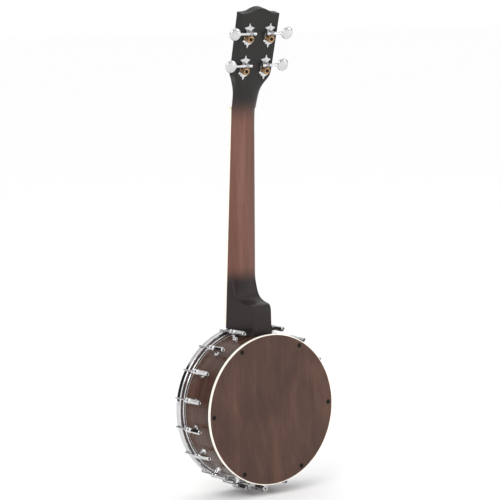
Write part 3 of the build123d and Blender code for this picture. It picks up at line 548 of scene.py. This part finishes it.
def hook_part():
    """A round-wire hook: a straight shank, a bend and a tip over the hoop, with a rolled thread."""
    bend = 2.4 * MM
    tip_y = HOOP_FRONT - HOOK_WIRE
    end_y = -21.0 * MM
    tip_r = 106.9 * MM
    shank = []
    radii = []
    thread_from = SHOE_REAR - 3.0 * MM
    steps = 46
    for k in range(steps + 1):
        y = end_y + (tip_y + bend - end_y) * k / steps
        shank.append((0, y, HOOK_R))
        ridge = 0.12 * MM if (y > thread_from and k % 2) else 0.0
        radii.append(HOOK_WIRE - ridge)
    for k in range(1, 9):
        t = pi / 2 * k / 8
        shank.append((0, tip_y + bend - bend * sin(t), HOOK_R - bend + bend * cos(t)))
        radii.append(HOOK_WIRE)
    flat = HOOK_R - bend
    for k in range(1, 6):
        shank.append((0, tip_y, flat + (tip_r + 1.0 * MM - flat) * k / 5))
        radii.append(HOOK_WIRE)
    for k in range(1, 6):
        t = pi / 2 * k / 5
        shank.append((0, tip_y, tip_r + 1.0 * MM - sin(t) * 1.0 * MM))
        radii.append(HOOK_WIRE * max(cos(t), 0.04))
    return tube(shank, HOOK_WIRE, 20, radii)


def shoe_part():
    """A cast shoe: two-lobed barrel round the hook and a flared foot on the rim."""
    r = 4.0 * MM
    mid = BOLT_Y
    lobes = [(HOOK_WIRE + 0.06 * MM, SHOE_FRONT), (2.9 * MM, SHOE_FRONT), (3.7 * MM, SHOE_FRONT + 0.7 * MM), (r, SHOE_FRONT + 2.2 * MM),
             (3.9 * MM, mid - 2.2 * MM), (3.15 * MM, mid - 0.9 * MM), (3.0 * MM, mid), (3.15 * MM, mid + 0.9 * MM),
             (3.9 * MM, mid + 2.2 * MM), (r, SHOE_REAR - 2.2 * MM), (3.7 * MM, SHOE_REAR - 0.7 * MM),
             (2.9 * MM, SHOE_REAR), (HOOK_WIRE + 0.06 * MM, SHOE_REAR)]
    barrel = moved(lathe(round_corners(lobes, 0.5 * MM, 3), 48), axis_frame((0, 0, HOOK_R), (0, 1, 0)))
    verts, faces = [], []
    sides, levels = 40, 12
    for level in range(levels + 1):
        t = level / levels
        spread = 1 + 0.28 * (1 - t) ** 4
        a, b = 3.4 * MM * spread, 4.5 * MM * spread
        for k in range(sides):
            angle = 2 * pi * k / sides
            x, y = a * cos(angle), BOLT_Y + b * sin(angle)
            floor = sqrt(RIM_R ** 2 - x * x)
            verts.append((x, y, floor + (HOOK_R - 1.2 * MM - floor) * t))
    for level in range(levels):
        for k in range(sides):
            m = (k + 1) % sides
            faces.append([level * sides + k, level * sides + m, (level + 1) * sides + m, (level + 1) * sides + k])
    faces.append(list(reversed(range(sides))))
    faces.append([levels * sides + k for k in range(sides)])
    return merge([barrel, (verts, faces)])


def bracket_nut_part(flats, length_from, length_to, wire, radius):
    """A long open-ended hexagon nut with a round collar against the shoe."""
    full = flats / 2 / cos(pi / 6)
    c = 0.5 * MM
    collar = 3.3 * MM
    start, end = length_from, length_to
    outside = [(start, collar - 0.3 * MM), (start + 0.3 * MM, collar), (start + 1.1 * MM, collar),
               (start + 1.4 * MM, collar - 0.3 * MM), (start + 1.45 * MM, flats / 2 - 0.1 * MM),
               (start + 2.0 * MM, full), (end - 1.1 * MM, full), (end - 0.45 * MM, flats / 2 + 0.05 * MM),
               (end, flats / 2 - c)]
    bore = [(start, wire), (end - 4.5 * MM, wire), (end - 4.4 * MM, 2.0 * MM), (end - 0.4 * MM, 2.0 * MM),
            (end, 2.3 * MM)]
    verts, faces = hex_bar(flats, outside, bore)
    # the collar is round, so its points are put back on their circle
    count = len(outside) + len(bore)
    segments = len(verts) // count
    fixed = list(verts)
    for i in range(segments):
        angle = 2 * pi * i / segments
        for k in range(4):
            a, r = outside[k]
            fixed[i * count + k] = (r * cos(angle), r * sin(angle), a)
    return moved((fixed, faces), axis_frame((0, 0, radius), (0, 1, 0)))


def build_brackets():
    hook, shoe = hook_part(), shoe_part()
    nut = bracket_nut_part(6.0 * MM, SHOE_REAR, NUT_REAR, HOOK_WIRE + 0.06 * MM, HOOK_R)
    for name, part, node in (("hooks", hook, "bracket_hooks"), ("shoes", shoe, "bracket_shoes"),
                             ("long_nuts", nut, "bracket_nuts")):
        everywhere = merge([moved(part, at_bracket(angle)) for angle in BRACKET_ANGLES])
        make(name, everywhere, "hardware_chrome", [node], sharp=28)


# ---- neck -------------------------------------------------------------------------------------
BOARD_NUT_HALF = 18.5
BOARD_END_HALF = 24.4
BOARD_LENGTH = 300.0
NUT_T = 4.6
HEAD_DEEP = 2.8             # front of the headstock's wood, behind its nut line
HEAD_LOW = (51.0, 30.0)     # the lower corner and the upper corner of the headstock's straight side
HEAD_HIGH = (139.5, 31.2)
HEAD_WIDTHS = [(0, 18.5), (12, 19.2), (21, 20.0), (29, 21.2), (36, 23.1), (42, 25.6), (47, 28.2), HEAD_LOW]
CREST = [HEAD_HIGH, (139.6, 28.6), (139.9, 24.0), (141.3, 17.0), (142.9, 13.4), (144.6, 10.0), (145.8, 6.8),
         (146.5, 4.0), (146.75, 2.0), (146.8, 0.4)]


def head_half(up):
    """Half the headstock's width."""
    if up <= HEAD_LOW[0]:
        return look_up(HEAD_WIDTHS, up)
    if up <= HEAD_HIGH[0]:
        t = (up - HEAD_LOW[0]) / (HEAD_HIGH[0] - HEAD_LOW[0])
        return HEAD_LOW[1] + (HEAD_HIGH[1] - HEAD_LOW[1]) * t
    return look_up(CREST, up)


def neck_half(up):
    """Half the neck's width at millimetres up from the nut (negative below it)."""
    return BOARD_NUT_HALF - 0.15 + (BOARD_END_HALF - BOARD_NUT_HALF) * -up / BOARD_LENGTH


def half_section(width, depth, boxy, corner):
    """Points from the front edge round to the middle of the back: (across, deep), 0..1 boxy."""
    out = []
    side, arc, back = 12, 10, 12
    corner = min(corner, width * 0.9, depth * 0.9)
    square = [(width, (depth - corner) * k / side) for k in range(side)]
    square += [(width - corner + corner * cos(pi / 2 * k / arc), depth - corner + corner * sin(pi / 2 * k / arc))
               for k in range(arc)]
    square += [((width - corner) * (1 - k / back), depth) for k in range(back + 1)]
    count = len(square)
    for k, (x, y) in enumerate(square):
        if depth > HEAD_THICK + 1:
            x *= 1 - HEEL_TAPER * y / width
        angle = pi / 2 * k / (count - 1)
        round_x, round_y = width * cos(angle), depth * sin(angle) ** 0.94
        out.append((round_x * (1 - boxy) + x * boxy, round_y * (1 - boxy) + y * boxy))
    return out


HEAD_THICK = 12.2
HEEL_TAPER = 0.1537         # the heel narrows by this much for each millimetre behind the fingerboard
HEEL_BACK = -18.0
SWEEP_TOP = 188.0
HEEL_CORNER = 3.2
DEPTH_LOW, DEPTH_HIGH = 13.1, 12.0


def head_boxy(up):
    return smooth_step(up, 24, 60)


def head_corner(up):
    return 2.6 - 1.2 * smooth_step(up, 10, 50)


def neck_stations():
    """(front point, back point, half width, boxy, corner radius) from the heel to the headstock's top."""
    stations = []
    front_z = lambda z: NECK_LINE + NECK_UP * ((z - NECK_LINE.z) / NECK_UP.z) + NECK_IN * BOARD_T * MM
    wall = ((101.0, 101.0), (104.0, 104.0), (112.0, 111.9), (120.0, 119.0), (128.0, 126.0), (133.0, 130.0))
    end = -(NECK_LINE.z / MM - SWEEP_TOP)
    run_out = neck_point(0, end, DEPTH_LOW + BOARD_T) / MM
    shoulder = bezier((0, HEEL_BACK, 133.0), (0, HEEL_BACK, 139.8), (0, -20.5, 143.6), (0, -26.5, 144.3), 10)[1:]
    sweep_a = bezier((0, -26.5, 144.3), (0, -37.0, 145.5), (0, -47.0, 146.9), (0, -51.6, 153.0), 12)[1:]
    sweep_b = bezier((0, -51.6, 153.0), (0, -54.6, 157.2), (0, run_out.y - 0.9, 168.0), tuple(run_out), 10)[1:]
    fan = shoulder + sweep_a + sweep_b
    for back_z, z in wall:
        stations.append([front_z(z * MM), Vector((0, HEEL_BACK * MM, back_z * MM))])
    low = wall[-1][1]
    travelled = [0.0]
    for i, point in enumerate(fan):
        before = fan[i - 1] if i else Vector((0, HEEL_BACK, 133.0))
        travelled.append(travelled[-1] + (point - before).length)
    for distance, point in zip(travelled[1:], fan):
        t = distance / travelled[-1]
        stations.append([front_z((low + (SWEEP_TOP - low) * t ** 0.9) * MM), point * MM])
    out = []
    for front, back in stations:
        up = (front.z - NECK_LINE.z) / NECK_UP.z / MM
        out.append((front, back, neck_half(up), smooth_step(back.z / MM, 183, 146), HEEL_CORNER))
    for k in range(1, 25):
        up = end + (-26 - end) * k / 24
        deep = DEPTH_LOW + (DEPTH_HIGH - DEPTH_LOW) * k / 24 + BOARD_T
        out.append((neck_point(0, up, BOARD_T), neck_point(0, up, deep), neck_half(up), 0.0, HEEL_CORNER))
    start_back = neck_point(0, -26, DEPTH_HIGH + BOARD_T)
    end_back = head_point(0, 34, 15.0)
    path = bezier(start_back, start_back + NECK_UP * 22 * MM, end_back - HEAD_UP * 24 * MM, end_back, 600)
    for up in (-22, -18, -14, -10, -6, -3, 0, 2.4, NUT_T, NUT_T + 0.1, 8, 12, 16, 20, 24, 28, 31, 34):
        back = path[round((up + 26) * 10)]
        front = neck_point(0, up, BOARD_T) if up <= NUT_T else head_point(0, up, HEAD_DEEP)
        width = neck_half(up) if up < 0 else head_half(up)
        out.append((front, back, width, head_boxy(up), head_corner(up)))
    ups = [37, 40, 43, 45.5, 47.5, 49, 50, 50.6, 51.0, 51.6, 53, 57, 62, 75, 95, 115, 130, 136, 138.6, 139.3]
    ups += [place for place, _ in CREST]
    for up in ups:
        out.append((head_point(0, up, HEAD_DEEP), head_point(0, up, 15.0), head_half(up), head_boxy(up),
                    head_corner(up)))
    return out


def neck_part():
    """Heel, neck and headstock as one skin of lofted sections."""
    verts, faces = [], []
    relief_y = -61.2 * MM
    hoop_gap = HOOP_R + 0.8 * MM
    stations = neck_stations()
    rings = []
    for index, (front, back, width, boxy, corner) in enumerate(stations):
        deep = (back - front)
        depth = deep.length / MM
        half = half_section(width, depth, boxy, corner)
        direction = deep.normalized()
        ring = []
        for x, y in half + [(-x, y) for x, y in reversed(half[:-1])]:
            point = front + direction * y * MM + X_AXIS * x * MM
            limit = hoop_gap if point.y < relief_y else RIM_R
            floor = sqrt(limit ** 2 - point.x ** 2) + 0.02 * MM
            if point.z < floor:
                point = Vector((point.x, point.y, floor))
            ring.append(point)
        rings.append(ring)
    n = len(rings[0])
    for ring in rings:
        verts += ring
    for i in range(len(rings) - 1):
        for k in range(n):
            m = (k + 1) % n
            faces.append([i * n + k, i * n + m, (i + 1) * n + m, (i + 1) * n + k])
    faces.append(list(reversed(range(n))))
    faces.append([(len(rings) - 1) * n + k for k in range(n)])
    return verts, faces


def build_neck():
    make("neck_and_headstock", neck_part(), "neck_wood", ["neck"], sharp=40)


# ---- tuners -----------------------------------------------------------------------------------
def tuner_centre(number):
    """The worm axis's point over the plate, from the key's joint."""
    return Vector(JOINTS[f"key_turn_{number}"]["pos_m"])


def on_head(number, up=0.0, deep=0.0):
    """Frame at a tuner: X across, Y up the headstock, Z out of its back."""
    origin = tuner_centre(number) + HEAD_UP * up * MM + HEAD_IN * deep * MM
    return Matrix.Translation(origin) @ Matrix((-X_AXIS, HEAD_UP, HEAD_IN)).transposed().to_4x4()


WORM_UP = 3.7
WORM_HEIGHT = 5.8
PLATE_T = 1.2
FINIAL = [(0.5, 17.1), (1.2, 14.6), (2.4, 12.9), (4.6, 12.2), (8.8, 11.0), (6.6, 9.6), (5.0, 8.2), (3.7, 6.8),
          (4.2, 6.1), (6.6, 5.6), (6.8, 4.6), (6.8, -5.2), (8.9, -7.4), (8.6, -8.6), (6.2, -9.5), (3.8, -11.0),
          (1.8, -13.4), (0.5, -17.1)]


def tuner_plate_part(number):
    outline = [(x * MM, y * MM) for x, y in FINIAL]
    outline += [(-x, y) for x, y in reversed(outline)]
    rounded = round_corners(outline, 0.45 * MM, 3)
    frame_here = on_head(number, -WORM_UP, -WORM_HEIGHT)
    parts = [moved(slab(rounded, 0.0, PLATE_T * MM, 0.3 * MM), frame_here)]
    leaf = [(0.4, 15.4), (1.3, 13.3), (2.8, 12.2), (6.6, 11.0), (4.4, 9.2), (2.2, 8.6)]
    for flip, shift in ((1, 0.0), (-1, -0.1)):
        half = [(x * MM, (flip * y + shift) * MM) for x, y in leaf]
        whole = half + [(-x, y) for x, y in reversed(half)]
        raised = slab(round_corners(whole, 0.3 * MM, 2), PLATE_T * MM - 0.05 * MM, PLATE_T * MM + 0.4 * MM, 0.22 * MM)
        parts.append(moved(raised, frame_here))
    ear = [(-2.5, PLATE_T - 0.1), (2.5, PLATE_T - 0.1), (2.5, WORM_HEIGHT)]
    ear += [(2.5 * cos(t * pi / 12), WORM_HEIGHT + 2.5 * sin(t * pi / 12)) for t in range(1, 12)]
    ear += [(-2.5, WORM_HEIGHT)]
    ear = [(y * MM, z * MM) for y, z in ear]
    for x in (-5.9, 5.9):
        turned = on_head(number, 0, -WORM_HEIGHT) @ Matrix.Translation((x * MM, 0, 0)) @ Matrix(
            ((0, 0, 1, 0), (1, 0, 0, 0), (0, 1, 0, 0), (0, 0, 0, 1)))
        parts.append(moved(slab(ear, -0.9 * MM, 0.9 * MM, 0.25 * MM), turned))
    return merge(parts)


def button_part(number):
    """A round button: a thick domed disc on a trumpet-shaped stem."""
    side = TUNER_SIDES[number - 1]
    edge = [(3.8, 2.67), (6.5, 2.28), (8.05, 1.65), (8.8, 0.85)]
    disc = [(0, -2.75)] + [(x, -y) for x, y in edge] + [(9.05, 0)] + list(reversed(edge)) + [(0, 2.75)]
    disc = lathe([(x * MM, y * MM) for x, y in round_corners(disc, 0.8, 3)], 96)
    centre = tuner_centre(number) + X_AXIS * side * 26.24 * MM
    parts = [moved(disc, axis_frame(centre, HEAD_IN))]
    stem = [(14.0, 1.9), (14.4, 2.35), (15.0, 2.35), (15.5, 2.0), (16.3, 2.05), (17.2, 2.35), (18.2, 2.95),
            (19.2, 3.9), (20.1, 5.0), (20.8, 5.4)]
    verts, faces = [], []
    sides = 40
    for along, radius in stem:
        squash = 1.0 - 0.62 * smooth_step(along, 17.0, 20.8)
        for k in range(sides):
            angle = 2 * pi * k / sides
            offset = HEAD_UP * radius * cos(angle) + HEAD_IN * radius * squash * sin(angle)
            verts.append(tuner_centre(number) + X_AXIS * side * along * MM + offset * MM)
    for i in range(len(stem) - 1):
        for k in range(sides):
            m = (k + 1) % sides
            faces.append([i * sides + k, i * sides + m, (i + 1) * sides + m, (i + 1) * sides + k])
    faces.append(list(reversed(range(sides))))
    faces.append([(len(stem) - 1) * sides + k for k in range(sides)])
    parts.append((verts, faces))
    return merge(parts)


def build_tuners():
    make("tuner_base_plates", merge([tuner_plate_part(k) for k in range(1, 5)]), "hardware_chrome",
         ["tuner_plates"], sharp=30)
    for number in range(1, 5):
        make(f"round_button_{number}", button_part(number), "hardware_chrome", [f"tuner_button_{number}"],
             f"tuner_key_{number}", 40)


# ---- stage ------------------------------------------------------------------------------------
def build_stage():
    floor_z = CAD_BOX[0][2] - 0.0015
    mesh = bpy.data.meshes.new("floor")
    size = 60.0
    mesh.from_pydata([(-size, -size, floor_z), (size, -size, floor_z), (size, size, floor_z), (-size, size, floor_z)],
                     [], [[0, 1, 2, 3]])
    floor = bpy.data.objects.new("floor", mesh)
    bpy.context.scene.collection.objects.link(floor)
    n = Nodes("floor_paper")
    speck = n.noise(n.stretched((1, 1, 1)), 60.0, 2.0)
    mesh.materials.append(n.to(Base_Color=n.mix(speck, rgb(0.985, 0.985, 0.985), rgb(0.995, 0.995, 0.995)), Roughness=0.9))

    build_world()
    for name, place, size_x, size_y, power in SOFTBOXES:
        lamp = bpy.data.lights.new(name, "AREA")
        lamp.shape = "RECTANGLE"
        lamp.size = size_x
        lamp.size_y = size_y
        lamp.energy = power
        box = bpy.data.objects.new(name, lamp)
        box.location = place
        box.rotation_euler = (Vector((0, 0, 0.2)) - Vector(place)).to_track_quat("-Z", "Y").to_euler()
        bpy.context.scene.collection.objects.link(box)


SOFTBOXES = (("key_softbox", (2.0, 1.6, 1.9), 1.2, 1.6, 26),
             ("fill_softbox", (-2.0, 1.8, 0.9), 1.2, 1.8, 10))
# Glossy surfaces see these cards round the studio: (direction, inner and outer angle, brightness).
CARDS = (((-0.50, 0.80, 0.25), 30, 44, 0.85),
         ((0.85, 0.35, 0.40), 22, 34, 1.6),
         ((0.0, 0.1, 1.0), 30, 52, 1.3),
         ((0.56, -0.81, 0.17), 20, 26, 0.03),
         ((-0.95, -0.1, 0.15), 14, 22, 0.05))


def build_world():
    """White to the camera and to matt surfaces; bright cards and dark flags in reflections."""
    world = bpy.data.worlds.new("studio")
    bpy.context.scene.world = world
    world.use_nodes = True
    tree = world.node_tree
    background = tree.nodes["Background"]
    background.inputs[1].default_value = 1.0

    def node(kind, operation=None):
        made = tree.nodes.new(kind)
        if operation:
            made.operation = operation
        return made

    direction = node("ShaderNodeTexCoord").outputs["Generated"]
    split = node("ShaderNodeSeparateXYZ")
    tree.links.new(direction, split.inputs[0])
    base = node("ShaderNodeMapRange")
    tree.links.new(split.outputs[1], base.inputs[0])
    for slot, value in enumerate((-0.2, 0.3, 0.85, 0.22), start=1):
        base.inputs[slot].default_value = value
    light = base.outputs[0]
    for aim, inner, outer, value in CARDS:
        dot = node("ShaderNodeVectorMath", "DOT_PRODUCT")
        tree.links.new(direction, dot.inputs[0])
        dot.inputs[1].default_value = Vector(aim).normalized()
        edge = node("ShaderNodeMapRange")
        edge.interpolation_type = "SMOOTHSTEP"
        tree.links.new(dot.outputs["Value"], edge.inputs[0])
        edge.inputs[1].default_value = cos(radians(outer))
        edge.inputs[2].default_value = cos(radians(inner))
        blend = node("ShaderNodeMix")
        tree.links.new(edge.outputs[0], blend.inputs[0])
        tree.links.new(light, blend.inputs[2])
        blend.inputs[3].default_value = value
        light = blend.outputs[0]
    path = node("ShaderNodeLightPath")
    final = node("ShaderNodeMix")
    tree.links.new(path.outputs["Is Glossy Ray"], final.inputs[0])
    final.inputs[2].default_value = 1.0
    tree.links.new(light, final.inputs[3])
    tree.links.new(final.outputs[0], background.inputs[0])


def build_camera():
    """The photograph's viewing angle: behind the back plate, a little above it."""
    lens = bpy.data.cameras.new("camera")
    lens.lens = 165.6
    lens.sensor_width = 36.0
    camera = bpy.data.objects.new("camera", lens)
    aim = Vector((0.03208, 0, 0.22372))
    forward = Vector((-0.58136, -0.80716, -0.10254)).normalized()
    camera.location = aim - forward * 3.12714
    level = forward.cross(Vector((0, 0, 1))).normalized()
    upright = level.cross(forward)
    roll = radians(-1.165)
    right = level * cos(roll) + upright * sin(roll)
    true_up = right.cross(forward)
    camera.rotation_euler = Matrix((right, true_up, -forward)).transposed().to_euler()
    bpy.context.scene.collection.objects.link(camera)
    bpy.context.scene.camera = camera


dress_cad_nodes()
build_pot()
build_brackets()
build_neck()
build_tuners()
build_stage()
build_camera()
bpy.context.scene.view_settings.view_transform = "Standard"
